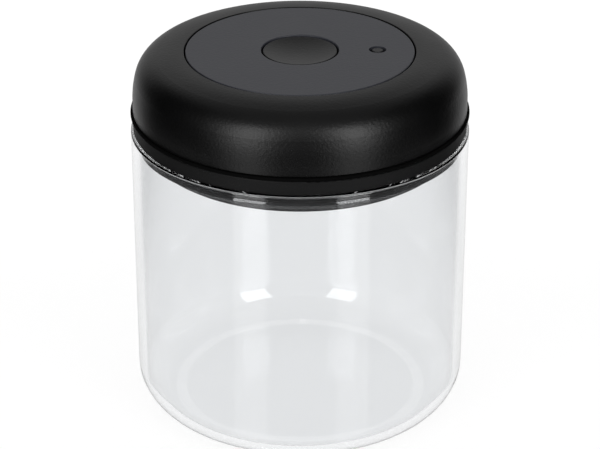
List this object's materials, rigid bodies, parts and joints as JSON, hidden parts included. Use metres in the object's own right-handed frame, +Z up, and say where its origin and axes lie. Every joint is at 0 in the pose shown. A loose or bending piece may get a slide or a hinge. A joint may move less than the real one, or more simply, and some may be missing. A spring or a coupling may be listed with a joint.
{
  "type": "vacuum seal canister",
  "caption": "Clear glass food canister with a domed black pump lid: twisting the cap draws air out, a centre button lets it back in and a small pin shows the vacuum",
  "frame": {"origin": "middle of the jar's underside", "axes": "+Z up along the jar's axis, +X towards the vacuum indicator, -Y towards the front of the picture"},
  "size_m": [0.1074, 0.1074, 0.1208],
  "materials": {
    "jar_glass": "clear polished soda-lime glass",
    "shell_black": "fine spark-eroded matte black",
    "silicone_dark": "smooth satin silicone",
    "inner_black": "plain moulded black",
    "acetal_white": "smooth natural acetal",
    "steel_bright": "bright plain steel",
    "cylinder_grey": "polished grey moulding",
    "marker_grey": "satin dark grey",
    "filter_mesh": "fine woven mesh"
  },
  "bodies": {
    "jar": {"glass_jar": "jar_glass"},
    "lid": {"lid_base": "shell_black", "jar_gasket": "silicone_dark", "base_cover": "shell_black", "filter_disc": "filter_mesh", "inlet_valve": "silicone_dark", "pump_cylinder": "cylinder_grey", "cylinder_seal": "silicone_dark", "cylinder_screws": "steel_bright", "core_tower": "inner_black", "core_screws": "steel_bright", "top_panel": "shell_black", "glide_ring": "acetal_white", "button_spring": "steel_bright", "indicator_seat": "inner_black", "indicator_bellows": "silicone_dark", "indicator_spring": "steel_bright"},
    "twist_cap": {"twist_cap": "shell_black", "cap_ring": "silicone_dark", "cam_sleeve": "acetal_white", "cap_screws": "steel_bright"},
    "piston": {"piston": "inner_black", "piston_seal": "silicone_dark", "rod_seal": "silicone_dark", "exhaust_valves": "silicone_dark", "crosshead": "inner_black", "follower_pins": "steel_bright", "crosshead_screws": "steel_bright"},
    "button": {"release_button": "shell_black", "release_stem": "acetal_white", "release_poppet": "inner_black", "poppet_seal": "silicone_dark", "poppet_screw": "steel_bright"},
    "indicator": {"indicator_pin": "marker_grey"}
  },
  "joints": [
    {"name": "lid_lift", "type": "slide", "parent": "jar", "child": "lid", "axis": [0, 0, 1], "range_m": [0, 0.06]},
    {"name": "cap_twist", "type": "hinge", "parent": "lid", "child": "twist_cap", "pos_m": [0, 0, 0.11], "axis": [0, 0, 1], "range_deg": [0, 90]},
    {"name": "piston_stroke", "type": "slide", "parent": "lid", "child": "piston", "axis": [0, 0, 1], "range_m": [0, 0.007]},
    {"name": "button_press", "type": "slide", "parent": "lid", "child": "button", "axis": [0, 0, -1], "range_m": [0, 0.0025], "stiffness_N_per_m": 500, "springref_m": -0.004, "deforming": ["button_spring"]},
    {"name": "indicator_drop", "type": "slide", "parent": "lid", "child": "indicator", "axis": [0, 0, -1], "range_m": [0, 0.0018], "stiffness_N_per_m": 80, "springref_m": -0.002, "deforming": ["indicator_bellows", "indicator_spring"]}
  ],
  "couplings": [
    {"joint": "piston_stroke", "follows": "cap_twist", "m_per_rad": 0.0044563}
  ]
}
